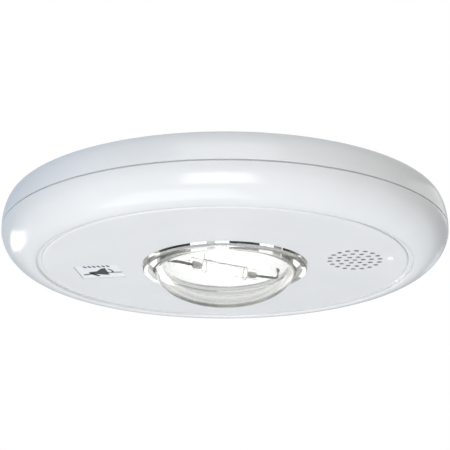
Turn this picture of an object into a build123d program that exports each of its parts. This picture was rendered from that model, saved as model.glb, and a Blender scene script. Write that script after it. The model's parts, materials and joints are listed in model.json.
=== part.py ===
from build123d import *
import os
from math import atan2, cos, degrees, radians, sin, sqrt

# Ceiling horn strobe. Millimetres, +Z up into the ceiling. The origin is the centre of the
# mounting face, on the ceiling plane. The lens faces -Z, and +X runs from the lens to the
# sound port. The base stays on the ceiling, and the device head twist-locks into it.

# Driving dimensions of the body
BODY_R = 87.5
CEILING_R = 82.3
SKIRT_H = 12.0
SEAM = 0.6
SEAM_DEPTH = 0.6
FACE_Z = -24.5
FACE_R = 71.5
FACE_T = 2.5
CHANNEL = 2.0
CHANNEL_DEPTH = 0.8
RIM_R = 75.0
RIM_Z = -25.0
WALL = 2.2
EDGE = 0.9
LIP_RISE = 0.55

# Clearances: between separate mouldings, between touching parts, and round moving shanks
GAP = 0.1
TOUCH = 0.02
RUNNING = 0.05

# Lens and reflector
LENS_R = 32.1
LENS_STEP = 2.1
LENS_CORNER = 0.5
DOME_R = 27.1
DOME_H = 12.8
DOME_ROOT_ANGLE = 5.0
LENS_WALL = 1.8
REFLECTOR_R = 25.6
REFLECTOR_T = 1.2
REFLECTOR_TOP = -15.8
REFLECTOR_THROAT = 6.0
REFLECTOR_POST_R = 30.3
REFLECTOR_POSTS = (0, 120, 240)

# Features on the face
GRILLE_X = 51.0
GRILLE_RINGS = 3
GRILLE_PITCH_X = 3.25
GRILLE_PITCH_Y = 4.0
GRILLE_HOLE_R = 1.0
INDICATOR_X = 64.7
INDICATOR_R = 1.5
LABEL_X = -50.3
LABEL_SIDE = 17.5
LABEL_DEPTH = 0.7
LABEL_T = 0.25
LABEL_CORNER = 0.6

# Levels of the flat walls inside, top then bottom
WEB_T = 2.5
RAISED_TOP = -5.5
RAISED_T = 1.8
POCKET_R = 38.0
POCKET_TOP = -9.5
FLANGE_TOP = -10.6
BOARD_TOP = -12.6
BOARD_T = 1.6
BOARD_R = 66.3

# Twist lock
LOCK_ANGLES = (90, 210, 330)
LUG_SPAN = 12.0
LEDGE_SPAN = 13.0
TWIST = 14.0
COLLAR_R = 70.3
LEDGE_R = 71.2
LUG_R = 73.4
LOCK_WALL_R = 74.0
LOCK_WALL_T = 2.0
LEDGE_Z = -9.0
LEDGE_T = 1.6
STOP_SPAN = 2.0
STOP_PLAY = 0.2

# Box screw slots: hole-to-hole spacing, slot width and slot length
OCTAGON_SPACING = 88.9
GANG_SPACING = 83.3
SLOT_W = 4.8
SLOT_L = 9.0
SLOT_PAD = 3.5
SLOT_PAD_DEPTH = 1.0
WIRE_ENTRY_R = 16.0
WIRE_COLLAR_T = 1.6
WIRE_COLLAR_H = 2.0

# Shallow pockets that lighten the ceiling face
BASE_POCKET_IN = 56.0
BASE_POCKET_OUT = 71.0
BASE_POCKETS = 12
BASE_POCKET_DEPTH = 1.0
BASE_RIB_SPAN = 3.0

# Terminals and contacts
TERMINAL_X = (-13.2, -4.4, 4.4, 13.2)
TERMINAL_Y = -22.5
TERMINAL_LOW = -8.6
TERMINAL_SEAT = -4.2
TERMINAL_SPLIT_W = 6.4
STRIP_T = 0.8
STRIP_W = 3.0
CLAMP_SIDE = 5.8
CLAMP_T = 0.8
CLAMP_TOP = -5.05
TERMINAL_TIP = -3.0
PEG_X = 8.8
PEG_R = 0.9
PEG_L = 1.2
CONTACT_ANGLES = (234, 257, 283, 306)
CONTACT_R = 34.0
BLADE_T = 0.8
BLADE_TIP = -5.4
BLADE_SPAN = 6.0
SPRING_T = 0.4
SPRING_CLEARANCE = 0.08
SPRING_LOW = -8.4
SPRING_SPAN = 8.0

# Selector switches: node prefix, centre x and y, body length, travel
SELECTORS = (
    ("candela", 0.0, -54.0, 18.0, 10.0),
    ("volume", 34.0, -43.0, 11.0, 4.0),
    ("tone", -34.0, -43.0, 11.0, 4.0),
)
SWITCH_W = 6.0
SWITCH_H = 4.4
SWITCH_WALL = 1.1
KNOB_W = 2.2
SHOE_W = 4.0
SHOE_REACH = 0.9
STEM_CLEARANCE = 0.15

# Fasteners
COVER_SCREW_R = 79.0
COVER_SCREW_ANGLES = (45, 135, 225, 315)
BOARD_SCREW_R = 60.0
BOARD_SCREW_ANGLES = (30, 150, 210, 330)
BOARD_SCREW_TIP = -8.2
COVER_SCREW_TIP = -19.5
SCREW_R = 1.25
HEAD_R = 2.5
HEAD_T = 1.5

# Flash tube, lying aslant across the lens
TUBE_ANGLE = 37.0
TUBE_Z = -26.0
TUBE_R = 1.9
TUBE_WALL = 0.55
TUBE_HALF = 17.0
LEAD_R = 0.4
LEAD_X = 24.3
LEAD_BEND = 1.2
ELECTRODE_X = 10.5
ELECTRODE_L = 3.4
ELECTRODE_R = 1.05
ELECTRODE_SOCKET = 1.2
NECK_R = 0.8
NECK_L = 2.6
TRIGGER_X = 9.0
TRIGGER_WIRE_R = 0.16

# Sounder
HORN_X = 48.4
HORN_R = 14.5
HORN_TOP = -15.2
PIEZO_R = 13.4
PIEZO_Z = -20.0
PIEZO_T = 0.25
CERAMIC_R = 9.5
HORN_WALL = 0.8
HORN_LID = 1.2
SCREEN_T = 0.28

# Status lamp behind the light pipe
PIPE_TOP = -18.9
LAMP_R = 1.25

# Flash capacitor
CAP_R = 6.25
CAP_HALF = 15.0
CAP_Y = 50.0
CAP_Z = -14.6
CAP_LEAD_Y = 2.5
CAP_CRADLE_X = 9.0

# Small parts on the board: centre of each in plan
INDUCTOR_AT = (-44.0, -26.0)
COIL_AT = (-40.0, 24.0)
TRANSISTOR_AT = (-52.0, 2.0)
CHIP_AT = (8.0, -44.0)
DIODES_AT = (-20.0, 34.0)
FILTER_AT = (26.0, -34.0)
DIODE_COUNT = 4
DIODE_PITCH = 7.0
DIODE_L = 5.4
DIODE_R = 1.35
CHIP_PIN_PITCH = 1.27
CHIP_PINS_PER_SIDE = 8

FACE_BACK = FACE_Z + FACE_T
BOARD_BOTTOM = BOARD_TOP - BOARD_T
COVER_TOP = -SKIRT_H - SEAM
RAISED_BOTTOM = RAISED_TOP - RAISED_T
FLANGE_BOTTOM = FLANGE_TOP - RAISED_T
POCKET_BOTTOM = POCKET_TOP - RAISED_T
FACE_FLANGE_R = 76.0
FACE_FLANGE_BACK = FACE_BACK + 1.4
LENS_STEP_Z = FACE_Z - LENS_STEP
LENS_FLANGE_R = 33.7
LENS_FLANGE_BACK = FACE_BACK + 1.5
TUBE_PLACE = Pos(0, 0, TUBE_Z) * Rot(0, 0, TUBE_ANGLE)

PARTS = {}


def disc(radius, z_low, z_high, x=0.0, y=0.0):
    """Upright cylinder between two heights."""
    return Pos(x, y, (z_low + z_high) / 2) * Cylinder(radius, z_high - z_low)


def ring(r_in, r_out, z_low, z_high, x=0.0, y=0.0):
    """Upright tube between two heights."""
    return disc(r_out, z_low, z_high, x, y) - disc(r_in, z_low - 1, z_high + 1, x, y)


def slab(x_low, x_high, y_low, y_high, z_low, z_high):
    """Box given by its limits."""
    centre = Pos((x_low + x_high) / 2, (y_low + y_high) / 2, (z_low + z_high) / 2)
    return centre * Box(x_high - x_low, y_high - y_low, z_high - z_low)


def turned(edges):
    """Solid of revolution about Z from edges drawn as radius and height."""
    outline = Plane.XZ * make_face(Wire(edges))
    return revolve(outline, Axis.Z, 360)


def sector(r_in, r_out, z_low, z_high, middle, span):
    """Part of a ring, centred on an angle."""
    outline = Polyline((r_in, z_low), (r_out, z_low), (r_out, z_high), (r_in, z_high), close=True)
    piece = revolve(Plane.XZ * make_face(outline), Axis.Z, span)
    return Rot(0, 0, middle - span / 2) * piece


def bar(start, end, width, z_low, z_high):
    """Flat strip between two points in plan."""
    dx = end[0] - start[0]
    dy = end[1] - start[1]
    length = sqrt(dx * dx + dy * dy)
    place = Pos((start[0] + end[0]) / 2, (start[1] + end[1]) / 2, (z_low + z_high) / 2)
    return place * Rot(0, 0, degrees(atan2(dy, dx))) * Box(length, width, z_high - z_low)


def polar(radius, angle):
    """Point in plan at a radius and an angle in degrees."""
    return radius * cos(radians(angle)), radius * sin(radians(angle))


def slot(length, width, z_low, z_high, x, y, angle):
    """Round-ended slot, with its long way turned by an angle."""
    shape = extrude(SlotOverall(length, width), z_high - z_low)
    return Pos(x, y, z_low) * Rot(0, 0, angle) * shape


def rod(start, end, radius):
    """Round bar between two points."""
    way = Vector(*end) - Vector(*start)
    middle = (Vector(*end) + Vector(*start)) * 0.5
    return Plane(origin=middle, z_dir=way) * Cylinder(radius, way.length)


def wire_along(points, radius, bend):
    """Round wire along a bent path."""
    path = FilletPolyline(*points, radius=bend)
    start = Plane(origin=path @ 0, z_dir=path % 0)
    return sweep(start * Circle(radius), path)


def screw(x, y, head_z, tip_z, head_up, shank_r=SCREW_R, head_r=HEAD_R, head_t=HEAD_T):
    """Pan-head screw with a cross recess; head_z is where the head meets the work."""
    way = 1 if head_up else -1
    shank = disc(shank_r, min(head_z, tip_z), max(head_z, tip_z), x, y)
    head_end = head_z + way * head_t
    head = disc(head_r, min(head_z, head_end), max(head_z, head_end), x, y)
    rim = head.edges().filter_by(GeomType.CIRCLE).sort_by(Axis.Z)
    head = fillet(rim[-1:] if head_up else rim[:1], head_t * 0.45)
    recess_end = head_end - way * head_t * 0.6
    low, high = min(recess_end, head_end), max(recess_end, head_end)
    reach = head_r * 0.6
    width = head_r * 0.11
    cross = slab(x - reach, x + reach, y - width, y + width, low, high)
    cross += slab(x - width, x + width, y - reach, y + reach, low, high)
    return shank + head - cross


def keep(name, shape):
    """Store one node; a list is a group of separate solids."""
    if isinstance(shape, (list, tuple)):
        solids = [solid for item in shape for solid in item.solids()]
        shape = Compound(children=solids)
    PARTS[name] = shape


# ---------------------------------------------------------------- base, fixed to the ceiling

def build_base_plate():
    inner_r = 80.2
    inner_bulge = BODY_R - WALL - inner_r
    inner_h = SKIRT_H - WEB_T
    bulge = BODY_R - CEILING_R
    foot = -SKIRT_H
    outer = EllipticalCenterArc((CEILING_R, foot), bulge, SKIRT_H, start_angle=0, arc_size=90)
    inner = EllipticalCenterArc((inner_r, foot), inner_bulge, inner_h, start_angle=0, arc_size=90)
    outline = [
        outer,
        Line(outer @ 1, (WIRE_ENTRY_R, 0)),
        Line((WIRE_ENTRY_R, 0), (WIRE_ENTRY_R, -WEB_T)),
        Line((WIRE_ENTRY_R, -WEB_T), inner @ 1),
        inner,
        Line(inner @ 0, outer @ 0),
    ]
    plate = turned(outline)
    root_z = -WEB_T + 0.5
    plate += ring(LOCK_WALL_R, LOCK_WALL_R + LOCK_WALL_T, LEDGE_Z, root_z)
    collar_r = WIRE_ENTRY_R + WIRE_COLLAR_T
    plate += ring(WIRE_ENTRY_R, collar_r, -WEB_T - WIRE_COLLAR_H, root_z)
    # Each lug slides over a ledge, between an entry stop and an end stop.
    stop_gap = (LUG_SPAN + STOP_SPAN) / 2 + STOP_PLAY
    wall_mid = LOCK_WALL_R + LOCK_WALL_T / 2
    for angle in LOCK_ANGLES:
        plate += sector(LEDGE_R, wall_mid, LEDGE_Z, LEDGE_Z + LEDGE_T, angle, LEDGE_SPAN)
        for stop in (stop_gap, -TWIST - stop_gap):
            plate += sector(LEDGE_R, wall_mid, LEDGE_Z, root_z, angle + stop, STOP_SPAN)
    pitch = 360 / BASE_POCKETS
    for k in range(BASE_POCKETS):
        middle = (k + 0.5) * pitch
        pocket_span = pitch - BASE_RIB_SPAN
        plate -= sector(BASE_POCKET_IN, BASE_POCKET_OUT, -BASE_POCKET_DEPTH, 1.0, middle, pocket_span)
    pad_z = -WEB_T + SLOT_PAD_DEPTH
    for angle, spacing in ((90, OCTAGON_SPACING), (0, GANG_SPACING)):
        for side in (1, -1):
            x, y = polar(side * spacing / 2, angle)
            plate -= slot(SLOT_L, SLOT_W, -WEB_T - 1, 1, x, y, angle)
            plate -= slot(SLOT_L + 2 * SLOT_PAD, SLOT_W + 2 * SLOT_PAD, -WEB_T - 1, pad_z, x, y, angle)
    # Two pegs locate the terminal block.
    for x in (-PEG_X, PEG_X):
        plate += disc(PEG_R, -WEB_T - PEG_L, root_z, x, TERMINAL_Y)
    keep("base_plate", plate)


def build_contact_clip(x, angle):
    """Terminal plate, strip and the two spring leaves that grip a blade."""
    strip_top = TERMINAL_SEAT - TOUCH
    strip_low = TERMINAL_SEAT - STRIP_T
    inner = CONTACT_R - BLADE_T / 2 - SPRING_CLEARANCE
    outer = CONTACT_R + BLADE_T / 2 + SPRING_CLEARANCE
    leaf_in = inner - SPRING_T
    leaf_out = outer + SPRING_T
    clip = slab(x - 3, x + 3, TERMINAL_Y - 3.9, TERMINAL_Y + 3.9, strip_low, strip_top)
    clip += bar((x, TERMINAL_Y), polar(CONTACT_R, angle), STRIP_W, strip_low, strip_top)
    clip -= sector(leaf_in, CONTACT_R + 6, strip_low - 1, strip_top + 1, angle, 20)
    clip += sector(leaf_in, leaf_out, strip_low, strip_top, angle, SPRING_SPAN)
    clip += sector(leaf_in, inner, SPRING_LOW, TERMINAL_SEAT - 0.5, angle, SPRING_SPAN)
    clip += sector(outer, leaf_out, SPRING_LOW, TERMINAL_SEAT - 0.5, angle, SPRING_SPAN)
    return clip - disc(SCREW_R + RUNNING, strip_low - 1, strip_top + 1, x, TERMINAL_Y)


def build_terminals():
    seat = TERMINAL_SEAT
    block = slab(-18, 18, TERMINAL_Y - 6.5, TERMINAL_Y + 4.3, TERMINAL_LOW, -WEB_T - TOUCH)
    block &= disc(31.8, -10, 0)
    clips = []
    for k, (x, angle) in enumerate(zip(TERMINAL_X, CONTACT_ANGLES)):
        bay = TERMINAL_SPLIT_W / 2
        block -= slab(x - bay, x + bay, TERMINAL_Y - 4.1, -17, TERMINAL_LOW - 1, seat)
        strip = (x, TERMINAL_Y), polar(CONTACT_R, angle)
        block -= bar(*strip, STRIP_W + 0.2, seat - STRIP_T - GAP, seat)
        block -= disc(SCREW_R + 0.3, seat - 0.5, TERMINAL_TIP + 0.1, x, TERMINAL_Y)
        clips.append(build_contact_clip(x, angle))
        half = CLAMP_SIDE / 2
        clamp_low = CLAMP_TOP - CLAMP_T
        y_low, y_high = TERMINAL_Y - half, TERMINAL_Y + half
        clamp = slab(x - half, x + half, y_low, y_high, clamp_low, CLAMP_TOP)
        clamp -= disc(SCREW_R + RUNNING, clamp_low - 1, CLAMP_TOP + 1, x, TERMINAL_Y)
        keep("clamp_plate_" + str(k + 1), clamp)
        driver = screw(x, TERMINAL_Y, clamp_low - TOUCH / 2, TERMINAL_TIP, False)
        keep("terminal_screw_" + str(k + 1), driver)
    for x in (-PEG_X, PEG_X):
        block -= disc(PEG_R + RUNNING, -WEB_T - PEG_L - GAP, 0, x, TERMINAL_Y)
    keep("terminal_block", block)
    keep("contact_clips", clips)


# ------------------------------------------------------------------------- shells of the head

def build_front_cover():
    # The handle sets how full the curve from the seam to the rim is.
    drop = RIM_Z - COVER_TOP
    handle = 0.5
    outer = Bezier(
        (BODY_R, COVER_TOP),
        (BODY_R, COVER_TOP + drop * handle),
        (RIM_R + (BODY_R - RIM_R) * handle, RIM_Z),
        (RIM_R, RIM_Z),
    )
    lip_r = FACE_R + CHANNEL
    lip_z = RIM_Z + LIP_RISE
    lip = Bezier((RIM_R, RIM_Z), (lip_r + 0.45, RIM_Z), (lip_r, RIM_Z + 0.15), (lip_r, lip_z))
    shelf_z = FACE_Z + CHANNEL_DEPTH
    shelf_r = FACE_R + RUNNING
    shelf_back = FACE_BACK - 2 * GAP
    upstand_r = 84.8
    upstand_in = 82.8
    upstand_z = -9.4
    # A land just under the skirt closes the seam behind a shallow groove.
    land_r = BODY_R - SEAM_DEPTH
    land_z = -SKIRT_H - RUNNING
    pocket_r = FACE_FLANGE_R + 0.2
    inner_z = -17.5
    inner = Bezier(
        (upstand_in, inner_z),
        (upstand_in, inner_z - 2.8),
        (pocket_r + 3.4, shelf_back),
        (pocket_r, shelf_back),
    )
    outline = [
        outer,
        lip,
        Line((lip_r, lip_z), (lip_r, shelf_z)),
        Line((lip_r, shelf_z), (shelf_r, shelf_z)),
        Line((shelf_r, shelf_z), (shelf_r, shelf_back)),
        Line((shelf_r, shelf_back), (pocket_r, shelf_back)),
        inner,
        Line((upstand_in, inner_z), (upstand_in, upstand_z)),
        Line((upstand_in, upstand_z), (upstand_r, upstand_z)),
        Line((upstand_r, upstand_z), (upstand_r, land_z)),
        Line((upstand_r, land_z), (land_r, land_z)),
        Line((land_r, land_z), (land_r, COVER_TOP)),
        Line((land_r, COVER_TOP), (BODY_R, COVER_TOP)),
    ]
    cover = turned(outline)
    for angle in COVER_SCREW_ANGLES:
        x, y = polar(COVER_SCREW_R, angle)
        cover += disc(2.6, shelf_back - 0.3, FLANGE_BOTTOM - GAP, x, y)
        cover -= disc(SCREW_R + RUNNING, -20, -5, x, y)
    keep("front_cover", cover)


def grille_points():
    points = [(0.0, 0.0)]
    for k in range(1, GRILLE_RINGS + 1):
        for step in range(6 * k):
            angle = radians(step * 60 / k)
            points.append((GRILLE_PITCH_X * k * cos(angle), GRILLE_PITCH_Y * k * sin(angle)))
    return points


def build_face_plate():
    opening_r = LENS_R + 0.2
    flange_in = 68.0
    round_edge = Bezier(
        (FACE_R - EDGE, FACE_Z),
        (FACE_R - EDGE * 0.4, FACE_Z),
        (FACE_R, FACE_Z + EDGE * 0.4),
        (FACE_R, FACE_Z + EDGE),
    )
    flange_front = FACE_BACK - GAP
    outline = [
        Line((opening_r, FACE_Z + 0.3), (opening_r + 0.3, FACE_Z)),
        Line((opening_r + 0.3, FACE_Z), (FACE_R - EDGE, FACE_Z)),
        round_edge,
        Line((FACE_R, FACE_Z + EDGE), (FACE_R, flange_front)),
        Line((FACE_R, flange_front), (FACE_FLANGE_R, flange_front)),
        Line((FACE_FLANGE_R, flange_front), (FACE_FLANGE_R, FACE_FLANGE_BACK)),
        Line((FACE_FLANGE_R, FACE_FLANGE_BACK), (flange_in, FACE_FLANGE_BACK)),
        Line((flange_in, FACE_FLANGE_BACK), (flange_in, FACE_BACK)),
        Line((flange_in, FACE_BACK), (opening_r, FACE_BACK)),
        Line((opening_r, FACE_BACK), (opening_r, FACE_Z + 0.3)),
    ]
    plate = turned(outline)
    half = LABEL_SIDE / 2
    pocket = slab(LABEL_X - half, LABEL_X + half, -half, half, FACE_Z - 1, FACE_Z + LABEL_DEPTH)
    plate -= fillet(pocket.edges().filter_by(Axis.Z), LABEL_CORNER)
    holes = [disc(GRILLE_HOLE_R, FACE_Z - 1, FACE_BACK + 1, GRILLE_X + x, y) for x, y in grille_points()]
    plate -= holes
    plate -= disc(INDICATOR_R + RUNNING, FACE_Z - 1, FACE_BACK + 1, INDICATOR_X)
    keep("face_plate", plate)
    side = half - GAP
    label_top = FACE_Z + LABEL_DEPTH - TOUCH
    label = slab(LABEL_X - side, LABEL_X + side, -side, side, label_top - LABEL_T, label_top)
    keep("label_insert", fillet(label.edges().filter_by(Axis.Z), LABEL_CORNER))


def build_rear_housing():
    step_r = POCKET_R + RAISED_T
    collar_in = COLLAR_R - RAISED_T
    flange_r = 82.4
    outline = Polyline(
        (0, POCKET_TOP), (POCKET_R, POCKET_TOP), (POCKET_R, RAISED_TOP), (COLLAR_R, RAISED_TOP),
        (COLLAR_R, FLANGE_TOP), (flange_r, FLANGE_TOP), (flange_r, FLANGE_BOTTOM),
        (collar_in, FLANGE_BOTTOM), (collar_in, RAISED_BOTTOM), (step_r, RAISED_BOTTOM),
        (step_r, POCKET_BOTTOM), (0, POCKET_BOTTOM), close=True,
    )
    housing = revolve(Plane.XZ * make_face(outline), Axis.Z, 360)
    lug_low = LEDGE_Z + LEDGE_T + 0.25
    for angle in LOCK_ANGLES:
        housing += sector(COLLAR_R - 1, LUG_R, lug_low, RAISED_TOP, angle, LUG_SPAN)
    # Six feet press the face plate against the cover's shelf.
    for k in range(6):
        housing += sector(73.2, 75.6, FACE_FLANGE_BACK + GAP, FLANGE_TOP - 1, 15 + 60 * k, 6)
    for angle in COVER_SCREW_ANGLES:
        x, y = polar(COVER_SCREW_R, angle)
        housing -= disc(SCREW_R + 0.3, FLANGE_BOTTOM - 1, FLANGE_TOP + 1, x, y)
    for angle in BOARD_SCREW_ANGLES:
        x, y = polar(BOARD_SCREW_R, angle)
        housing += disc(2.8, BOARD_TOP + TOUCH, RAISED_BOTTOM + 0.5, x, y)
        housing -= disc(SCREW_R + RUNNING, BOARD_BOTTOM - 1, RAISED_BOTTOM - 0.3, x, y)
    slit_in = CONTACT_R - BLADE_T / 2 - RUNNING
    slit_out = CONTACT_R + BLADE_T / 2 + RUNNING
    for angle in CONTACT_ANGLES:
        housing -= sector(slit_in, slit_out, POCKET_BOTTOM - 1, POCKET_TOP + 1, angle, BLADE_SPAN + 0.2)
    for _, x, y, _, travel in SELECTORS:
        half = travel / 2 + KNOB_W / 2 + 0.3
        width = KNOB_W / 2 + 0.3
        housing -= slab(x - half, x + half, y - width, y + width, RAISED_BOTTOM - 1, RAISED_TOP + 1)
        # A shallow dish round each slot gives a fingertip room.
        housing -= slot(2 * half + 4, SWITCH_W, RAISED_TOP - 0.7, RAISED_TOP + 1, x, y, 0)
    # Cradles that hold the flash capacitor from behind.
    for x in (-CAP_CRADLE_X, CAP_CRADLE_X):
        rib = slab(x - 1, x + 1, CAP_Y - CAP_R, CAP_Y + CAP_R, -11.5, RAISED_BOTTOM + 0.5)
        housing += rib - Pos(x, CAP_Y, CAP_Z) * Rot(0, 90, 0) * Cylinder(CAP_R + RUNNING, 6)
    keep("rear_housing", housing)


def build_lens():
    inner_r = DOME_R - LENS_WALL
    inner_z = LENS_STEP_Z + LENS_WALL
    body_in = LENS_R - LENS_WALL
    outer_place = (0, LENS_STEP_Z)
    inner_place = (0, inner_z)
    sweep_angle = 90 - DOME_ROOT_ANGLE
    dome_out = EllipticalCenterArc(outer_place, DOME_R, DOME_H, start_angle=-90, arc_size=sweep_angle)
    dome_in = EllipticalCenterArc(inner_place, inner_r, DOME_H, start_angle=-90, arc_size=90)
    # A small hollow round joins the dome to the flat step.
    foot = dome_out @ 1
    root = TangentArc(foot, (foot.X + LENS_STEP_Z - foot.Y, LENS_STEP_Z), tangent=dome_out % 1)
    corner_from = (LENS_R - LENS_CORNER, LENS_STEP_Z)
    corner_to = (LENS_R, LENS_STEP_Z + LENS_CORNER)
    corner = TangentArc(corner_from, corner_to, tangent=(1, 0))
    outline = [
        dome_out,
        root,
        Line(root @ 1, corner @ 0),
        corner,
        Line(corner @ 1, (LENS_R, FACE_BACK + GAP)),
        Line((LENS_R, FACE_BACK + GAP), (LENS_FLANGE_R, FACE_BACK + GAP)),
        Line((LENS_FLANGE_R, FACE_BACK + GAP), (LENS_FLANGE_R, LENS_FLANGE_BACK)),
        Line((LENS_FLANGE_R, LENS_FLANGE_BACK), (body_in, LENS_FLANGE_BACK)),
        Line((body_in, LENS_FLANGE_BACK), (body_in, inner_z)),
        Line((body_in, inner_z), dome_in @ 1),
        dome_in,
        Line(dome_in @ 0, dome_out @ 0),
    ]
    keep("lens", turned(outline))


def build_reflector():
    rim_z = FACE_Z + GAP
    top_z = REFLECTOR_TOP
    throat = REFLECTOR_THROAT
    # The bowl is a paraboloid outside a flat throat.
    steps = 6
    points = []
    for k in range(steps + 1):
        r = throat + (REFLECTOR_R - throat) * k / steps
        depth = (r * r - throat * throat) / (REFLECTOR_R ** 2 - throat ** 2)
        points.append((r, top_z + (rim_z - top_z) * depth))
    bowl_in = Spline(*points)
    lift = REFLECTOR_T
    back = Spline(*[(r + lift * 0.35, z + lift) for r, z in points[:-1]])
    skirt_r = REFLECTOR_R + REFLECTOR_T
    flange_r = LENS_FLANGE_R - 2 * GAP
    flange_low = LENS_FLANGE_BACK + GAP
    flange_high = flange_low + REFLECTOR_T
    outline = [
        Line((0, top_z), points[0]),
        bowl_in,
        Line(points[-1], (skirt_r, rim_z)),
        Line((skirt_r, rim_z), (skirt_r, flange_low)),
        Line((skirt_r, flange_low), (flange_r, flange_low)),
        Line((flange_r, flange_low), (flange_r, flange_high)),
        Line((flange_r, flange_high), (skirt_r - 1.0, flange_high)),
        Line((skirt_r - 1.0, flange_high), back @ 1),
        back,
        Line(back @ 0, (0, top_z + lift)),
        Line((0, top_z + lift), (0, top_z)),
    ]
    reflector = turned(outline)
    for angle in (TUBE_ANGLE, TUBE_ANGLE + 180):
        x, y = polar(LEAD_X, angle)
        reflector -= disc(2 * LEAD_R, rim_z - 1, flange_high + 1, x, y)
    for angle in REFLECTOR_POSTS:
        x, y = polar(REFLECTOR_POST_R, angle)
        reflector += disc(1.8, flange_high - 0.5, BOARD_BOTTOM - RUNNING, x, y)
    x, y = polar(TRIGGER_X, TUBE_ANGLE + 180)
    reflector -= disc(0.45, rim_z - 1, top_z + 2, x, y)
    keep("reflector", reflector)


# ----------------------------------------------------------------------------- flash tube

def build_flash_tube():
    bore_r = TUBE_R - TUBE_WALL
    seal_r = LEAD_R + TOUCH
    half = TUBE_HALF - NECK_L
    shoulder = 0.9
    # Drawn as distance along the tube and radius, then spun about the tube's own axis.
    outline = Polyline(
        (-TUBE_HALF, seal_r), (-TUBE_HALF, NECK_R), (-half - shoulder, NECK_R + 0.35),
        (-half, TUBE_R), (half, TUBE_R), (half + shoulder, NECK_R + 0.35),
        (TUBE_HALF, NECK_R), (TUBE_HALF, seal_r), (half + 0.6, seal_r),
        (half - 0.2, bore_r), (-half + 0.2, bore_r), (-half - 0.6, seal_r), close=True,
    )
    tube = revolve(make_face(outline), Axis.X, 360)
    keep("flash_tube", TUBE_PLACE * tube)
    electrode_end = ELECTRODE_X + ELECTRODE_L
    socket = electrode_end - ELECTRODE_SOCKET
    lead_top = BOARD_TOP + 0.3 - TUBE_Z
    electrodes = []
    leads = []
    for side in (1, -1):
        body = rod((side * ELECTRODE_X, 0, 0), (side * electrode_end, 0, 0), ELECTRODE_R)
        body = fillet(body.edges().filter_by(GeomType.CIRCLE), 0.25)
        body -= rod((side * socket, 0, 0), (side * (electrode_end + 1), 0, 0), LEAD_R)
        electrodes.append(TUBE_PLACE * body)
        path = ((side * socket, 0, 0), (side * LEAD_X, 0, 0), (side * LEAD_X, 0, lead_top))
        leads.append(TUBE_PLACE * wire_along(path, LEAD_R, LEAD_BEND))
    keep("tube_electrodes", electrodes)
    keep("tube_leads", leads)
    # The trigger wire loops the tube twice, and one end rises to the board.
    wrap_r = TUBE_R + TRIGGER_WIRE_R + RUNNING
    hoops = [
        Pos(x, 0, 0) * Rot(0, 90, 0) * Torus(wrap_r, TRIGGER_WIRE_R)
        for x in (-TRIGGER_X, TRIGGER_X)
    ]
    wire = hoops[0] + hoops[1]
    wire += rod((-TRIGGER_X, 0, wrap_r), (TRIGGER_X, 0, wrap_r), TRIGGER_WIRE_R)
    wire_top = BOARD_BOTTOM - RUNNING - TUBE_Z
    wire += rod((-TRIGGER_X, 0, wrap_r), (-TRIGGER_X, 0, wire_top), TRIGGER_WIRE_R)
    keep("trigger_wire", TUBE_PLACE * wire)


# ------------------------------------------------------------------------- sounder and lamp

def build_sounder():
    seat_z = PIEZO_Z + PIEZO_T
    seat_in = PIEZO_R - 1.2
    bore_r = HORN_R - HORN_WALL
    face = FACE_BACK + TOUCH
    chamber = ring(bore_r, HORN_R, face, HORN_TOP, HORN_X)
    chamber += ring(seat_in, HORN_R - HORN_WALL / 2, seat_z + TOUCH, HORN_TOP, HORN_X)
    chamber += disc(HORN_R - HORN_WALL / 2, HORN_TOP - HORN_LID, HORN_TOP, HORN_X)
    # One wire meets the ceramic and the other meets the brass rim.
    wire_spots = ((HORN_X - 4, seat_z + PIEZO_T), (HORN_X + 11, seat_z))
    for x, _ in wire_spots:
        chamber -= disc(0.55, HORN_TOP - HORN_LID - 1, HORN_TOP + 1, x)
    screen_back = face + SCREEN_T
    keep("horn_chamber", chamber)
    keep("dust_screen", disc(HORN_R - 1.0, face, screen_back, HORN_X))
    seal = ring(seat_in, bore_r - 0.15, screen_back + TOUCH, PIEZO_Z - TOUCH / 2, HORN_X)
    keep("sounder_ring", seal)
    keep("piezo_disc", disc(PIEZO_R, PIEZO_Z, seat_z, HORN_X))
    keep("piezo_ceramic", disc(CERAMIC_R, seat_z, seat_z + PIEZO_T, HORN_X))
    keep("piezo_wires", [disc(0.4, z, BOARD_BOTTOM, x) for x, z in wire_spots])


def build_indicator():
    tip = disc(INDICATOR_R, FACE_Z - 0.35, FACE_BACK, INDICATOR_X)
    tip = fillet(tip.edges().filter_by(GeomType.CIRCLE).sort_by(Axis.Z)[:1], 0.3)
    collar = disc(INDICATOR_R + 0.25, FACE_BACK + TOUCH, FACE_BACK + 0.8, INDICATOR_X)
    stem = disc(INDICATOR_R - 0.1, FACE_BACK, PIPE_TOP, INDICATOR_X)
    keep("indicator_light_pipe", tip + collar + stem)
    dome_z = PIPE_TOP + LAMP_R + RUNNING
    lamp_top = BOARD_BOTTOM - TOUCH
    lamp = disc(LAMP_R, dome_z, lamp_top, INDICATOR_X)
    lamp += Pos(INDICATOR_X, 0, dome_z) * Sphere(LAMP_R)
    lamp += disc(LAMP_R + 0.25, lamp_top - 1.0, lamp_top, INDICATOR_X)
    keep("status_lamp", lamp)


# ----------------------------------------------------------------------------- electronics

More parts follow.
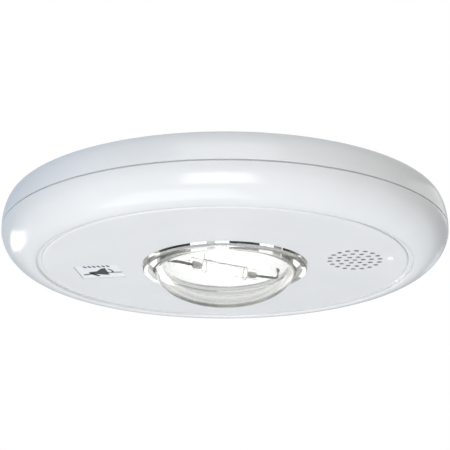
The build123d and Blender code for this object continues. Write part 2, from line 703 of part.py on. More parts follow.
def build_board():
    below = BOARD_BOTTOM - 1
    above = BOARD_TOP + 1
    board = disc(BOARD_R, BOARD_BOTTOM, BOARD_TOP)
    notch_y = CAP_Y - CAP_R - 0.7
    board -= slab(-CAP_HALF - 1, CAP_HALF + 1, notch_y, BOARD_R + 5, below, above)
    for angle in BOARD_SCREW_ANGLES:
        x, y = polar(BOARD_SCREW_R, angle)
        board -= disc(SCREW_R + 0.2, below, above, x, y)
    for angle in (TUBE_ANGLE, TUBE_ANGLE + 180):
        x, y = polar(LEAD_X, angle)
        board -= disc(LEAD_R + RUNNING, below, above, x, y)
    keep("circuit_board", board)
    screws = []
    for angle in BOARD_SCREW_ANGLES:
        x, y = polar(BOARD_SCREW_R, angle)
        screws.append(screw(x, y, BOARD_BOTTOM - TOUCH, BOARD_SCREW_TIP, False))
    keep("board_screws", screws)
    blades = []
    inner = CONTACT_R - BLADE_T / 2
    for angle in CONTACT_ANGLES:
        blades.append(sector(inner, inner + BLADE_T, BOARD_TOP + TOUCH, BLADE_TIP, angle, BLADE_SPAN))
    keep("contact_blades", blades)


def build_capacitor():
    place = Pos(0, CAP_Y, CAP_Z)
    groove = 0.7
    groove_x = CAP_HALF - 3
    outline = Polyline(
        (-CAP_HALF, 0), (-CAP_HALF, CAP_R - 0.5), (-CAP_HALF + 0.5, CAP_R), (groove_x - 1, CAP_R),
        (groove_x, CAP_R - groove), (groove_x + 1, CAP_R), (CAP_HALF - 0.5, CAP_R),
        (CAP_HALF, CAP_R - 0.8), (CAP_HALF, 0), close=True,
    )
    keep("flash_capacitor", place * revolve(make_face(outline), Axis.X, 360))
    lead_in = CAP_HALF + TOUCH
    lead_out = CAP_HALF + 4
    leads = [
        place * rod((lead_in, y, 0), (lead_out, y, 0), 0.35)
        for y in (-CAP_LEAD_Y, CAP_LEAD_Y)
    ]
    keep("capacitor_leads", leads)


def build_inductor():
    """Drum core with its winding in the waist."""
    x, y = INDUCTOR_AT
    low = BOARD_BOTTOM - TOUCH
    drum_r, waist_r, cheek, height = 6.0, 2.4, 1.2, 6.8
    core = disc(drum_r, low - cheek, low, x, y)
    core += disc(waist_r, low - height + 0.3, low, x, y)
    core += disc(drum_r, low - height, low - height + cheek, x, y)
    keep("inductor_core", core)
    winding_low = low - height + cheek + RUNNING
    winding_high = low - cheek - RUNNING
    keep("inductor_winding", ring(waist_r + RUNNING, drum_r - 0.5, winding_low, winding_high, x, y))


def build_transistor():
    """Upright power package with its tab and tab hole."""
    x, y = TRANSISTOR_AT
    top = BOARD_TOP + TOUCH
    half_w, half_l, height, tab_t, tab_end = 5.0, 4.5, 4.3, 1.3, 11.0
    package = slab(x - half_w, x + half_w, y - half_l, y + half_l, top, top + height)
    package = chamfer(package.edges().group_by(Axis.Z)[-1], 0.4)
    package += slab(x - half_w, x + half_w, y + half_l - 0.1, y + tab_end, top, top + tab_t)
    package -= disc(1.8, top - 1, top + tab_t + 1, x, y + 8)
    keep("power_transistor", package)


def build_chip():
    """Control chip with a row of legs along each long side."""
    x, y = CHIP_AT
    low = BOARD_BOTTOM - TOUCH
    half_l, half_w = 5.0, 3.0
    leg_w, leg_out = 0.4, 1.4
    chip = slab(x - half_l, x + half_l, y - half_w, y + half_w, low - 1.9, low - 0.3)
    chip = chamfer(chip.edges().group_by(Axis.Z)[0], 0.25)
    chip -= disc(0.5, low - 3, low - 1.75, x - 4, y - 2)
    keep("control_chip", chip)
    legs = []
    first = x - CHIP_PIN_PITCH * (CHIP_PINS_PER_SIDE - 1) / 2
    for k in range(CHIP_PINS_PER_SIDE):
        leg_x = first + CHIP_PIN_PITCH * k
        for side in (1, -1):
            near = y + side * (half_w + TOUCH)
            far = y + side * (half_w + leg_out)
            y_low, y_high = min(near, far), max(near, far)
            legs.append(slab(leg_x - leg_w / 2, leg_x + leg_w / 2, y_low, y_high, low - 0.9, low))
    keep("chip_legs", legs)


def build_small_parts():
    low = BOARD_BOTTOM - TOUCH
    x, y = COIL_AT
    coil = disc(4, low - 6.2, low, x, y)
    keep("trigger_coil", fillet(coil.edges().filter_by(GeomType.CIRCLE).sort_by(Axis.Z)[:1], 0.8))
    x, y = DIODES_AT
    diode_z = low - DIODE_R - 0.15
    diodes = []
    for k in range(DIODE_COUNT):
        start = x + DIODE_PITCH * k
        diodes.append(rod((start, y, diode_z), (start + DIODE_L, y, diode_z), DIODE_R))
    keep("rectifier_diodes", diodes)
    x, y = FILTER_AT
    keep("filter_capacitor", disc(4, low - 7.2, low, x, y))


def build_selectors():
    """Each switch is a housing on the board with a slider that reaches out of the back."""
    low = BOARD_TOP + TOUCH
    high = low + SWITCH_H
    play = STEM_CLEARANCE
    knob = KNOB_W / 2
    shoe_half = SHOE_W / 2
    shoe_low = low + SWITCH_WALL
    shoe_high = high - SWITCH_WALL
    tip = RAISED_TOP + 0.5
    for name, x, y, length, travel in SELECTORS:
        half_w = SWITCH_W / 2
        body = slab(x - length / 2, x + length / 2, y - half_w, y + half_w, low, high)
        run = travel / 2 + knob + play
        room = run + SHOE_REACH + 0.1
        bay = shoe_half + play
        body -= slab(x - room, x + room, y - bay, y + bay, shoe_low - play, shoe_high + play)
        body -= slab(x - run, x + run, y - knob - play, y + knob + play, shoe_high, high + 1)
        keep(name + "_switch_body", body)
        # The slider starts at the left end of its travel.
        start = x - travel / 2
        left, right = start - knob, start + knob
        near, far = y - shoe_half, y + shoe_half
        slider = slab(left - SHOE_REACH, right + SHOE_REACH, near, far, shoe_low, shoe_high)
        slider += slab(left, right, y - knob, y + knob, shoe_low, tip)
        slider -= slab(start - 0.25, start + 0.25, y - knob - 1, y + knob + 1, tip - 0.4, tip + 1)
        keep(name + "_slider", slider)


def build_cover_screws():
    screws = []
    for angle in COVER_SCREW_ANGLES:
        x, y = polar(COVER_SCREW_R, angle)
        screws.append(screw(x, y, FLANGE_TOP + TOUCH, COVER_SCREW_TIP, True))
    keep("cover_screws", screws)


build_base_plate()
build_terminals()
build_front_cover()
build_face_plate()
build_rear_housing()
build_lens()
build_reflector()
build_flash_tube()
build_sounder()
build_indicator()
build_board()
build_capacitor()
build_inductor()
build_transistor()
build_chip()
build_small_parts()
build_selectors()
build_cover_screws()

os.makedirs("parts", exist_ok=True)
for node, shape in PARTS.items():
    export_step(shape, "parts/" + node + ".step")
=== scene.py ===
import json
import math

import bmesh
import bpy
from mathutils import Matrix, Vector

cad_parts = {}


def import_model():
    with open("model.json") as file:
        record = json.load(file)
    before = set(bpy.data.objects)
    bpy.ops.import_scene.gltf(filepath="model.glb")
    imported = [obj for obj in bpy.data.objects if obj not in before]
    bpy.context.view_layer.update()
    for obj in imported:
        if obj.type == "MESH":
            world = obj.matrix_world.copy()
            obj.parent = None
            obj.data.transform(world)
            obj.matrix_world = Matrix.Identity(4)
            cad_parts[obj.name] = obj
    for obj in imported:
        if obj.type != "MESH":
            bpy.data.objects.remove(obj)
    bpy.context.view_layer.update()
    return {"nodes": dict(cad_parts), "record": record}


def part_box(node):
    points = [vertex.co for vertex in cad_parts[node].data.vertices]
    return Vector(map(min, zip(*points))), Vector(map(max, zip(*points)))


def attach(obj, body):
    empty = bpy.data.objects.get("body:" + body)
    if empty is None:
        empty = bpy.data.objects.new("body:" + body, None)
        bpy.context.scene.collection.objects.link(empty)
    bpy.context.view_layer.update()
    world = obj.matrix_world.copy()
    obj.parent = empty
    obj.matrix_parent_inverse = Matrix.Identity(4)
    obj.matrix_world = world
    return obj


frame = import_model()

MM = 0.001
scene = bpy.context.scene

# Places and sizes taken from the frame, in metres.
LABEL_LOW, LABEL_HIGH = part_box("label_insert")
REFLECTOR_LOW, REFLECTOR_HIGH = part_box("reflector")
SCREEN_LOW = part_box("dust_screen")[0]


# ------------------------------------------------------------------------------ node helpers

def rgba(colour):
    """A colour socket's value, from a grey level or from red, green and blue."""
    if isinstance(colour, float):
        colour = (colour, colour, colour)
    return (*colour, 1.0)


def tinted(colour, factor):
    return tuple(min(1.0, channel * factor) for channel in colour)


class Nodes:
    """A node tree under construction, with short calls for the nodes used here."""

    def __init__(self, tree):
        self.tree = tree

    def add(self, kind, **values):
        """Adds a node. Each value goes to the node's property of that name, or else to its input."""
        node = self.tree.nodes.new(kind)
        for key, value in values.items():
            if hasattr(node, key):
                setattr(node, key, value)
            else:
                node.inputs[key.replace("_", " ")].default_value = value
        return node

    def link(self, source, target):
        self.tree.links.new(source, target)

    def fill(self, sockets, values):
        """Gives each socket its value: a link, a number, a colour, or nothing for None."""
        for socket, value in zip(sockets, values):
            if isinstance(value, bpy.types.NodeSocket):
                self.link(value, socket)
            elif isinstance(value, tuple):
                socket.default_value = rgba(value)
            elif value is not None:
                socket.default_value = value

    def ramp(self, source, stops, interpolation="LINEAR"):
        node = self.add("ShaderNodeValToRGB")
        node.color_ramp.interpolation = interpolation
        elements = node.color_ramp.elements
        while len(elements) < len(stops):
            elements.new(1.0)
        for element, (place, colour) in zip(elements, stops):
            element.position = place
            element.color = rgba(colour)
        self.link(source, node.inputs["Fac"])
        return node.outputs["Color"]

    def math(self, operation, first, second=None, third=None):
        node = self.add("ShaderNodeMath", operation=operation)
        self.fill(node.inputs, (first, second, third))
        return node.outputs["Value"]

    def mix(self, factor, first, second, blend="MIX"):
        node = self.add("ShaderNodeMix", data_type="RGBA", blend_type=blend)
        self.fill((node.inputs[0], node.inputs[6], node.inputs[7]), (factor, first, second))
        return node.outputs[2]

    def mix_shaders(self, factor, first, second):
        node = self.add("ShaderNodeMixShader")
        self.fill(node.inputs, (factor, first, second))
        return node.outputs["Shader"]

    def axes(self, vector):
        node = self.add("ShaderNodeSeparateXYZ")
        self.link(vector, node.inputs[0])
        return node.outputs


class Shader(Nodes):
    """A material's nodes, placed by the piece's own coordinates in metres."""

    def __init__(self, name):
        self.material = bpy.data.materials.new(name)
        self.material.use_nodes = True
        super().__init__(self.material.node_tree)
        self.bsdf = self.tree.nodes["Principled BSDF"]
        self.output = self.tree.nodes["Material Output"]
        self.place = self.add("ShaderNodeTexCoord").outputs["Object"]

    def set(self, **values):
        for key, value in values.items():
            self.bsdf.inputs[key.replace("_", " ")].default_value = value

    def noise(self, scale, detail=3.0, stretch=None):
        """Noise of so many cells a metre."""
        node = self.add("ShaderNodeTexNoise", Scale=scale, Detail=detail, Roughness=0.55)
        source = self.place
        if stretch:
            mapping = self.add("ShaderNodeMapping", Scale=stretch)
            self.link(source, mapping.inputs["Vector"])
            source = mapping.outputs["Vector"]
        self.link(source, node.inputs["Vector"])
        return node.outputs["Fac"]

    def wave(self, direction, scale, distortion=0.0):
        node = self.add(
            "ShaderNodeTexWave", bands_direction=direction, Scale=scale, Distortion=distortion,
        )
        self.link(self.place, node.inputs["Vector"])
        return node.outputs["Fac"]

    def bump(self, height, strength, distance, target=None):
        """Bumps a shader node, or the main one if none is given."""
        node = self.add("ShaderNodeBump", Strength=strength, Distance=distance)
        self.link(height, node.inputs["Height"])
        self.link(node.outputs["Normal"], (target or self.bsdf).inputs["Normal"])

    def colour(self, source):
        self.link(source, self.bsdf.inputs["Base Color"])

    def roughness(self, source):
        self.link(source, self.bsdf.inputs["Roughness"])


# --------------------------------------------------------------------------------- materials

# Noise scales shared by the plastics, in cells a metre.
DRIFT_SCALE = 28.0
PATCH_SCALE = 180.0
PEEL_SCALE = 420.0
RUB_SCALE = 900.0

# Bump depths, and the reach of rubbed edges and of painted crevice shade, in metres.
GRAIN_DEPTH = 0.02 * MM
SCRATCH_DEPTH = 0.01 * MM
WEAR_REACH = 0.6 * MM
PAINTED_SHADE_REACH = 2.5 * MM
# How fast wear builds up at an edge, and a worn edge's tone as a share of the plain one.
WEAR_GAIN = 2.5
WORN_TONE = 0.82

# Painted reflections: dark bands round the reflector's skirt, as turn from the back (0) through
# the front (0.5) and darkness. They imitate the patches that reflections make in the lens ring,
# whose exact cause isn't known.
SKIRT_PAINTED_REFLECTIONS = (
    (0.0, 0.1), (0.04, 0.8), (0.13, 0.0), (0.29, 0.7), (0.33, 1.0), (0.443, 0.0),
    (0.481, 0.6), (0.503, 0.0), (0.534, 1.0), (0.602, 0.1), (0.644, 0.8), (0.668, 0.1),
    (0.675, 1.0), (0.77, 0.0), (0.84, 0.8), (0.92, 0.1),
)
# The skirt starts at this share of the flange's radius.
BOWL_EDGE_R = 0.79 * REFLECTOR_HIGH.x
BAND_HEIGHT = 2 * MM
PAINTED_REFLECTION_BLACK = (0.012, 0.012, 0.014)
# Painted light: how strongly the skirt's white parts and the bowl glow.
SKIRT_PAINTED_LIGHT = 0.8
BOWL_PAINTED_LIGHT = 0.15


def edge_wear(shader, base, worn):
    """Mixes a worn colour in where a short-radius bevel normal leaves the true normal."""
    bevel = shader.add("ShaderNodeBevel", samples=4, Radius=WEAR_REACH)
    geometry = shader.add("ShaderNodeNewGeometry")
    dot = shader.add("ShaderNodeVectorMath", operation="DOT_PRODUCT")
    shader.fill(dot.inputs, (bevel.outputs["Normal"], geometry.outputs["Normal"]))
    gap = shader.math("SUBTRACT", 1.0, dot.outputs["Value"])
    patches = shader.noise(RUB_SCALE, 4.0)
    amount = shader.math("MULTIPLY", shader.math("MULTIPLY", gap, WEAR_GAIN), patches)
    return shader.mix(shader.math("MINIMUM", amount, 1.0), base, worn)


def painted_crevice_shade(shader, base, dark):
    """Painted shade: darkens the narrow holes of the sound port, where little light gets in."""
    occlusion = shader.add(
        "ShaderNodeAmbientOcclusion", samples=6, only_local=False, Distance=PAINTED_SHADE_REACH,
    )
    amount = shader.ramp(occlusion.outputs["AO"], ((0.34, 1.0), (0.56, 0.0)))
    port_side = shader.math("GREATER_THAN", shader.axes(shader.place)["X"], SCREEN_LOW.x)
    return shader.mix(shader.math("MULTIPLY", amount, port_side), base, dark)


def plastic(
    name, colour, roughness, grain_scale, grain, orange_peel=0.0, drift=0.02, wear=True, painted_shade_tone=0.0,
):
    """Moulded plastic: faint tone drift, mould grain, roughness patches and rubbed edges."""
    shader = Shader(name)
    slow = shader.noise(DRIFT_SCALE, 2.0)
    tone = shader.ramp(slow, ((0.3, tinted(colour, 1 - drift)), (0.7, tinted(colour, 1 + drift))))
    if wear:
        tone = edge_wear(shader, tone, tinted(colour, WORN_TONE))
    # Painted shade in narrow holes, where a tone for it is given.
    if painted_shade_tone:
        tone = painted_crevice_shade(shader, tone, tinted(colour, painted_shade_tone))
    shader.colour(tone)
    patches = shader.noise(PATCH_SCALE, 4.0)
    shader.roughness(shader.ramp(patches, ((0.25, roughness * 0.85), (0.75, roughness * 1.2))))
    height = shader.math("MULTIPLY", shader.noise(grain_scale, 2.0), grain)
    if orange_peel:
        peel = shader.noise(PEEL_SCALE, 1.0)
        height = shader.math("ADD", height, shader.math("MULTIPLY", peel, orange_peel))
    shader.bump(height, 1.0, GRAIN_DEPTH)
    shader.set(IOR=1.5)
    return shader.material


def metal(name, colour, roughness, scratch=(1.0, 1.0, 1.0)):
    """Metal with drawn scratches and dull patches."""
    shader = Shader(name)
    patches = shader.noise(350.0, 4.0)
    shader.colour(shader.ramp(patches, ((0.3, tinted(colour, 0.85)), (0.7, colour))))
    lines = shader.noise(2600.0, 2.0, scratch)
    shader.roughness(shader.ramp(lines, ((0.3, roughness * 0.7), (0.7, roughness * 1.4))))
    shader.bump(lines, 0.3, SCRATCH_DEPTH)
    shader.set(Metallic=1.0)
    return shader.material


def clear_plastic(name, tint, ior, haze, ripple_height=0.05 * MM):
    """Clear moulding with faint ripples and smears; shadow rays pass through it."""
    shader = Shader(name)
    glass = shader.add("ShaderNodeBsdfGlass", IOR=ior, Color=rgba(tint))
    smear = shader.ramp(shader.noise(60.0, 3.0), ((0.35, 0.0), (0.8, haze)))
    shader.link(smear, glass.inputs["Roughness"])
    shader.bump(shader.noise(90.0, 1.0), 0.25, ripple_height, glass)
    through = shader.add("ShaderNodeBsdfTransparent", Color=rgba(tint))
    shadow = shader.add("ShaderNodeLightPath").outputs["Is Shadow Ray"]
    surface = shader.mix_shaders(shadow, glass.outputs["BSDF"], through.outputs["BSDF"])
    shader.tree.nodes.remove(shader.bsdf)
    shader.link(surface, shader.output.inputs["Surface"])
    return shader.material


def circuit_board_material():
    """Green solder mask over raised copper tracks, laid out as a procedural maze."""
    shader = Shader("solder_mask")
    maze = shader.add(
        "ShaderNodeTexVoronoi", distance="MANHATTAN", feature="DISTANCE_TO_EDGE", Scale=260.0,
    )
    shader.link(shader.place, maze.inputs["Vector"])
    track = shader.ramp(maze.outputs["Distance"], ((0.04, 1.0), (0.07, 0.0)))
    shader.colour(shader.mix(track, (0.012, 0.10, 0.035), (0.03, 0.20, 0.07)))
    shader.roughness(shader.ramp(shader.noise(300.0), ((0.3, 0.25), (0.7, 0.4))))
    shader.bump(track, 0.6, 0.04 * MM)
    return shader.material


def winding_material():
    """Enamelled copper turns, as bands stacked along Z."""
    shader = Shader("enamelled_copper")
    turns = shader.wave("Z", 700.0, 0.6)
    shader.colour(shader.ramp(turns, ((0.1, (0.18, 0.05, 0.02)), (0.6, (0.72, 0.30, 0.12)))))
    shader.roughness(shader.ramp(shader.noise(500.0), ((0.3, 0.22), (0.7, 0.38))))
    shader.bump(turns, 1.0, 0.12 * MM)
    shader.set(Metallic=0.9)
    return shader.material


def mesh_cloth_material():
    """Fine woven dust screen."""
    shader = Shader("screen_weave")
    weave = shader.math("MULTIPLY", shader.wave("X", 900.0), shader.wave("Y", 900.0))
    shader.colour(shader.ramp(weave, ((0.1, 0.01), (0.8, (0.11, 0.11, 0.115)))))
    shader.bump(weave, 1.0, 0.1 * MM)
    shader.set(Roughness=0.8)
    return shader.material


def reflector_material():
    """Bright white bowl with a faint painted glow, and a skirt with a painted glow in its white
    parts, between dark bands of painted reflection.
    """
    shader = Shader("reflector_with_painted_light")
    white = shader.ramp(shader.noise(40.0), ((0.3, 0.95), (0.7, 0.985)))
    x, y, z = shader.axes(shader.place)
    turn = shader.math("ARCTAN2", x, shader.math("MULTIPLY", y, -1.0))
    turn = shader.math("MULTIPLY_ADD", turn, 1 / math.tau, 0.5)
    # Painted reflections: dark bands round the outside of the skirt, weaker near its foot.
    bands = shader.ramp(turn, SKIRT_PAINTED_REFLECTIONS, "CONSTANT")
    square = shader.math("ADD", shader.math("POWER", x, 2), shader.math("POWER", y, 2))
    outside = shader.math("GREATER_THAN", shader.math("SQRT", square), BOWL_EDGE_R)
    rise = shader.math("MULTIPLY_ADD", z, 1 / BAND_HEIGHT, -REFLECTOR_LOW.z / BAND_HEIGHT)
    above = shader.ramp(rise, ((0.15, 0.4), (0.4, 1.0)))
    amount = shader.math("MULTIPLY", shader.math("MULTIPLY", outside, bands), above)
    shader.colour(shader.mix(amount, white, PAINTED_REFLECTION_BLACK))
    # The glow isn't real: it stands for light gathered by the bowl and the skirt's white parts.
    plain = shader.math("MULTIPLY", outside, shader.math("SUBTRACT", 1.0, bands))
    inside = shader.math("MULTIPLY", shader.math("SUBTRACT", 1.0, outside), BOWL_PAINTED_LIGHT)
    glow = shader.math("MULTIPLY_ADD", plain, SKIRT_PAINTED_LIGHT, inside)
    shader.link(glow, shader.bsdf.inputs["Emission Strength"])
    shader.set(Emission_Color=rgba(1.0))
    shader.roughness(shader.ramp(shader.noise(700.0), ((0.3, 0.22), (0.7, 0.32))))
    shader.bump(shader.noise(1500.0, 2.0), 0.3, SCRATCH_DEPTH)
    return shader.material


def face_material():
    """Satin face plate, with painted shade inside the holes of the sound port."""
    return plastic("satin_white_face", (0.77, 0.764, 0.757), 0.42, 7000.0, 1.2, painted_shade_tone=0.3)


def light_pipe_material():
    """Milky indicator window, evenly coloured."""
    return plastic("opal_light_pipe", (0.97, 0.98, 0.98), 0.18, 3000.0, 0.3, drift=0.01, wear=False)


def lens_material():
    return clear_plastic("clear_polycarbonate", (0.962, 0.96, 0.95), 1.5, 0.02)


def tube_glass_material():
    """Smooth glass; its index is set below real glass, to look as faint as in the photo."""
    return clear_plastic("tube_glass", (1.0, 1.0, 1.0), 1.07, 0.0, 0.0)


# The plain materials, by slot: name, colour and roughness. A plastic then has its grain's scale
# and height and any orange peel, and a metal the stretch of its scratches.
PLASTICS = {
    "shell_white": ("gloss_white_shell", (0.785, 0.783, 0.778), 0.16, 5000.0, 0.25, 0.8),
    "housing_white": ("satin_white_housing", (0.70, 0.70, 0.69), 0.45, 6000.0, 1.0),
    "chamber_black": ("satin_black_chamber", (0.035, 0.035, 0.038), 0.4, 5000.0, 1.0),
    "capacitor_sleeve": ("shrunk_sleeve", (0.03, 0.035, 0.07), 0.25, 2500.0, 0.5),
    "core_ferrite": ("ferrite", (0.05, 0.05, 0.052), 0.6, 9000.0, 2.0),
    "coil_body": ("varnished_tape", (0.62, 0.48, 0.16), 0.3, 1800.0, 1.5),
    "component_black": ("moulded_epoxy", (0.025, 0.025, 0.027), 0.5, 8000.0, 1.8),
    "switch_body": ("switch_nylon", (0.06, 0.06, 0.065), 0.45, 6000.0, 1.0),
    "switch_knob": ("knob_nylon", (0.78, 0.78, 0.75), 0.4, 6000.0, 1.0),
    "terminal_body": ("terminal_nylon", (0.05, 0.055, 0.06), 0.42, 6000.0, 1.2),
}
UNWORN_PLASTICS = {
    "label_paper": ("label_film", (0.83, 0.84, 0.845), 0.35, 9000.0, 0.5),
    "lamp_resin": ("lamp_resin", (0.55, 0.80, 0.58), 0.15, 3000.0, 0.3),
    "seal_rubber": ("seal_rubber", (0.025, 0.025, 0.026), 0.75, 8000.0, 1.5),
    "piezo_ceramic": ("silvered_ceramic", (0.72, 0.71, 0.66), 0.3, 6000.0, 0.8),
    "wire_red": ("red_insulation", (0.45, 0.03, 0.025), 0.35, 4000.0, 0.5),
}
METALS = {
    "electrode_metal": ("sintered_electrode", (0.46, 0.45, 0.44), 0.4),
    "lead_metal": ("lead_wire", (0.20, 0.195, 0.19), 0.38),
    "trigger_metal": ("trigger_wire_nickel", (0.50, 0.49, 0.47), 0.3),
    "piezo_brass": ("rolled_brass", (0.78, 0.60, 0.30), 0.25, (1.0, 12.0, 1.0)),
    "tinned_wire": ("tinned_wire", (0.75, 0.75, 0.73), 0.3),
    "contact_metal": ("spring_bronze", (0.80, 0.66, 0.40), 0.28, (8.0, 1.0, 1.0)),
    "screw_steel": ("zinc_plated_steel", (0.72, 0.73, 0.74), 0.26, (1.0, 6.0, 1.0)),
}
MAKERS = {
    "face_white": face_material,
    "light_pipe_opal": light_pipe_material,
    "lens_clear": lens_material,
    "tube_glass": tube_glass_material,
    "reflector_white": reflector_material,
    "screen_cloth": mesh_cloth_material,
    "board_green": circuit_board_material,
    "winding_copper": winding_material,
}


def material_for(slot):
    if slot in PLASTICS:
        return plastic(*PLASTICS[slot])
    if slot in UNWORN_PLASTICS:
        return plastic(*UNWORN_PLASTICS[slot], wear=False)
    if slot in METALS:
        return metal(*METALS[slot])
    return MAKERS[slot]()


def dress_cad_nodes():
    slots = {row["node"]: row["material_slot"] for row in frame["record"]["subparts"]}
    made = {}
    for node, piece in frame["nodes"].items():
        slot = slots[node]
        if slot not in made:
            made[slot] = material_for(slot)
        piece.data.materials.clear()
        piece.data.materials.append(made[slot])


# ------------------------------------------------------------------------------ label print

INK_T = 0.03 * MM
# The print, in millimetres from the label's centre: a row of slanted ticks, and a horn with a ray
# and a sound arc. Bars are two ends and a width; the arc is a centre, radius, width and angles.
TICKS = 6
TICK_START_X = -4.9
TICK_PITCH = 1.85
TICK_SLANT = 0.45
TICK_TOP_Y = -6.6
TICK_FOOT_Y = -5.4
TICK_W = 1.0
HORN_TAIL = ((-7.0, 4.2), (-3.4, 3.0), 1.2)
HORN_FOOT = ((-3.6, 3.4), (-1.9, 6.2), 1.4)
RAY = ((2.6, 2.2), (8.2, 2.6), 0.9)
SOUND_ARC = ((0.9, 0.9), 4.1, 0.75, -48, 30)
HORN_BODY = (
    (-4.6, 0.9), (-1.2, 0.2), (1.4, -3.4), (2.9, -3.6),
    (2.9, 5.4), (1.4, 5.2), (-1.2, 4.2), (-4.6, 3.6),
)


def flat_outline(bm, points, z_low, z_high):
    """Adds a closed prism over a plan outline."""
    low = [bm.verts.new((x, y, z_low)) for x, y in points]
    high = [bm.verts.new((x, y, z_high)) for x, y in points]
    count = len(points)
    bm.faces.new(low)
    bm.faces.new(reversed(high))
    for k in range(count):
        after = (k + 1) % count
        bm.faces.new((low[k], high[k], high[after], low[after]))


def round_bar(start, end, width, steps=8):
    """Outline of a bar with round ends."""
    (x0, y0), (x1, y1) = start, end
    half = width / 2
    way = math.atan2(y1 - y0, x1 - x0)
    points = []
    for (x, y), turn in (((x1, y1), way - math.pi / 2), ((x0, y0), way + math.pi / 2)):
        for k in range(steps + 1):
            angle = turn + math.pi * k / steps
            points.append((x + half * math.cos(angle), y + half * math.sin(angle)))
    return points


def arc_band(centre, radius, width, start, stop, steps=14):
    """Outline of part of a ring."""
    x, y = centre
    points = []
    forward = range(steps + 1)
    for r, order in ((radius + width / 2, forward), (radius - width / 2, reversed(forward))):
        for k in order:
            angle = math.radians(start + (stop - start) * k / steps)
            points.append((x + r * math.cos(angle), y + r * math.sin(angle)))
    return points


def printing_ink():
    shader = Shader("printing_ink")
    tone = ((0.3, (0.02, 0.02, 0.022)), (0.7, (0.06, 0.06, 0.065)))
    shader.colour(shader.ramp(shader.noise(2500.0), tone))
    shader.bump(shader.noise(9000.0), 0.4, SCRATCH_DEPTH)
    shader.set(Roughness=0.5)
    return shader.material


def label_marks():
    """Printed ink on the label: a row of plain ticks, and a generic light-and-sound sign."""
    outlines = []
    for k in range(TICKS):
        x = TICK_START_X + TICK_PITCH * k
        outlines.append(round_bar((x, TICK_TOP_Y), (x + TICK_SLANT, TICK_FOOT_Y), TICK_W))
    outlines.append(round_bar(*HORN_TAIL))
    outlines.append(HORN_BODY)
    outlines.append(round_bar(*HORN_FOOT))
    outlines.append(round_bar(*RAY))
    outlines.append(arc_band(*SOUND_ARC))
    centre_x = (LABEL_LOW.x + LABEL_HIGH.x) / 2
    bm = bmesh.new()
    for outline in outlines:
        points = [(centre_x + x * MM, y * MM) for x, y in outline]
        flat_outline(bm, points, LABEL_LOW.z - INK_T, LABEL_LOW.z)
    bmesh.ops.recalc_face_normals(bm, faces=bm.faces)
    mesh = bpy.data.meshes.new("label_marks")
    bm.to_mesh(mesh)
    bm.free()
    mesh.materials.append(printing_ink())
    piece = bpy.data.objects.new("label_marks", mesh)
    scene.collection.objects.link(piece)
    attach(piece, "head")


# ------------------------------------------------------------------- floor, light and camera

FLOOR_Z = -1.45
FLOOR_RADIUS = 6.5
FLOOR_LIFT = 0.3
CAMERA_DISTANCE = 0.70
CAMERA_AZIMUTH = 9.2
CAMERA_ELEVATION = -18.2
TARGET = Vector((0, 0, -7.5 * MM))
LENS_MM = 141.8
SENSOR_MM = 36.0
CLIP_START = 0.01

NEUTRAL = (1.0, 1.0, 1.0)
COOL = (0.70, 0.85, 1.0)
# Name, azimuth and elevation in degrees, distance, width and height in metres, watts, colour,
# and whether it shows in reflections.
SOFTBOXES = (
    ("key", 6.0, -40.0, 1.5, 0.8, 0.85, 9.7, NEUTRAL, True),
    ("wrap_left", -32.0, -34.0, 1.5, 0.8, 0.8, 1.2, NEUTRAL, False),
    ("fill_above", 12.0, 36.0, 1.5, 1.2, 0.8, 4.9, NEUTRAL, True),
    ("left_cool", -75.0, -12.0, 1.3, 0.5, 0.9, 0.1, COOL, True),
    ("back_left", -134.0, -13.0, 1.5, 0.4, 0.42, 1.7, NEUTRAL, True),
    ("back_right_high", 138.0, 21.0, 1.5, 1.2, 0.35, 0.85, NEUTRAL, True),
    ("back_right_low", 168.0, 2.0, 1.5, 0.25, 0.25, 0.1, NEUTRAL, True),
    ("below", -90.0, -76.0, 1.35, 0.9, 0.9, 4.7, NEUTRAL, True),
)

# What surfaces see of the room: cool on the left, warm and darker on the right, bright above
# and below, and darkest level with the object.
SIDE_TONES = ((0.0, (0.42, 0.52, 0.66)), (0.5, (0.54, 0.57, 0.60)), (1.0, (0.30, 0.285, 0.245)))
HEIGHT_TONES = ((0.0, 0.74), (0.5, 0.38), (0.62, 1.0))
SWEEP_STRENGTH = 1.15


def direction(azimuth, elevation):
    """Unit vector from the object towards a viewer; azimuth 0 is in front, at -Y."""
    azimuth = math.radians(azimuth)
    elevation = math.radians(elevation)
    level = math.cos(elevation)
    return Vector((math.sin(azimuth) * level, -math.cos(azimuth) * level, math.sin(elevation)))


def aim(thing, azimuth, elevation, distance):
    """Adds a light or camera to the scene at a distance from the object, facing it."""
    way = direction(azimuth, elevation)
    thing.location = TARGET + way * distance
    thing.rotation_euler = way.to_track_quat("Z", "Y").to_euler()
    scene.collection.objects.link(thing)


def floor():
    bpy.ops.mesh.primitive_circle_add(
        vertices=128, radius=FLOOR_RADIUS, fill_type="NGON", location=(0, 0, FLOOR_Z),
    )
    disc = bpy.context.object
    disc.name = "floor"
    shader = Shader("pale_floor")
    shader.colour(shader.ramp(shader.noise(3.0), ((0.3, 0.86), (0.7, 0.88))))
    shader.roughness(shader.ramp(shader.noise(9.0), ((0.3, 0.55), (0.7, 0.65))))
    # The camera sees the floor a little paler than it lights the object.
    seen = shader.add("ShaderNodeLightPath").outputs["Is Camera Ray"]
    shader.link(shader.math("MULTIPLY", seen, FLOOR_LIFT), shader.bsdf.inputs["Emission Strength"])
    shader.set(Emission_Color=rgba(1.0))
    disc.data.materials.append(shader.material)


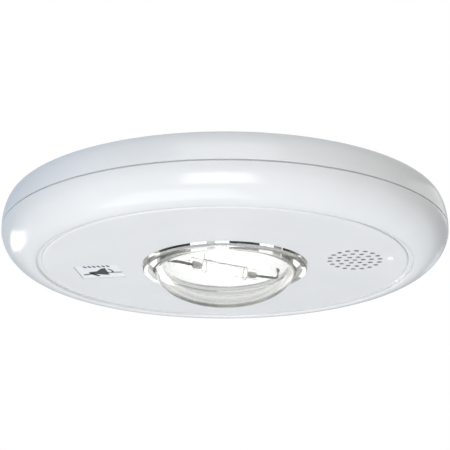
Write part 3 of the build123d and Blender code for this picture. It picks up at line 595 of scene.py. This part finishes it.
def softbox(name, azimuth, elevation, distance, width, height, power, colour, reflected):
    light = bpy.data.lights.new(name, "AREA")
    light.shape = "RECTANGLE"
    light.size = width
    light.size_y = height
    light.energy = power
    light.color = colour
    lamp = bpy.data.objects.new(name, light)
    lamp.visible_camera = False
    lamp.visible_glossy = reflected
    aim(lamp, azimuth, elevation, distance)


def world():
    """White behind the object and through the lens, and a soft grey sweep for everything else."""
    sky = bpy.data.worlds.new("studio")
    scene.world = sky
    sky.use_nodes = True
    nodes = Nodes(sky.node_tree)
    nodes.tree.nodes.clear()
    path = nodes.add("ShaderNodeLightPath").outputs
    seen = nodes.math("MAXIMUM", path["Is Camera Ray"], path["Is Transmission Ray"])
    way = nodes.axes(nodes.add("ShaderNodeTexCoord").outputs["Generated"])
    side = nodes.ramp(nodes.math("MULTIPLY_ADD", way["X"], 0.5, 0.5), SIDE_TONES)
    height = nodes.ramp(nodes.math("MULTIPLY_ADD", way["Z"], 0.5, 0.5), HEIGHT_TONES)
    sweep = nodes.add("ShaderNodeBackground", Strength=SWEEP_STRENGTH)
    nodes.link(nodes.mix(1.0, side, height, "MULTIPLY"), sweep.inputs["Color"])
    white = nodes.add("ShaderNodeBackground", Color=rgba(1.0))
    surface = nodes.mix_shaders(seen, sweep.outputs[0], white.outputs[0])
    nodes.link(surface, nodes.add("ShaderNodeOutputWorld").inputs["Surface"])


def camera():
    data = bpy.data.cameras.new("camera")
    data.sensor_width = SENSOR_MM
    data.lens = LENS_MM
    data.clip_start = CLIP_START
    viewer = bpy.data.objects.new("camera", data)
    aim(viewer, CAMERA_AZIMUTH, CAMERA_ELEVATION, CAMERA_DISTANCE)
    scene.camera = viewer


def studio():
    scene.view_settings.view_transform = "Standard"
    # Light runs round inside the clear lens many times before it leaves.
    scene.cycles.max_bounces = 40
    scene.cycles.glossy_bounces = 32
    scene.cycles.transmission_bounces = 32
    scene.cycles.transparent_max_bounces = 12
    floor()
    world()
    for row in SOFTBOXES:
        softbox(*row)
    camera()


dress_cad_nodes()
label_marks()
studio()
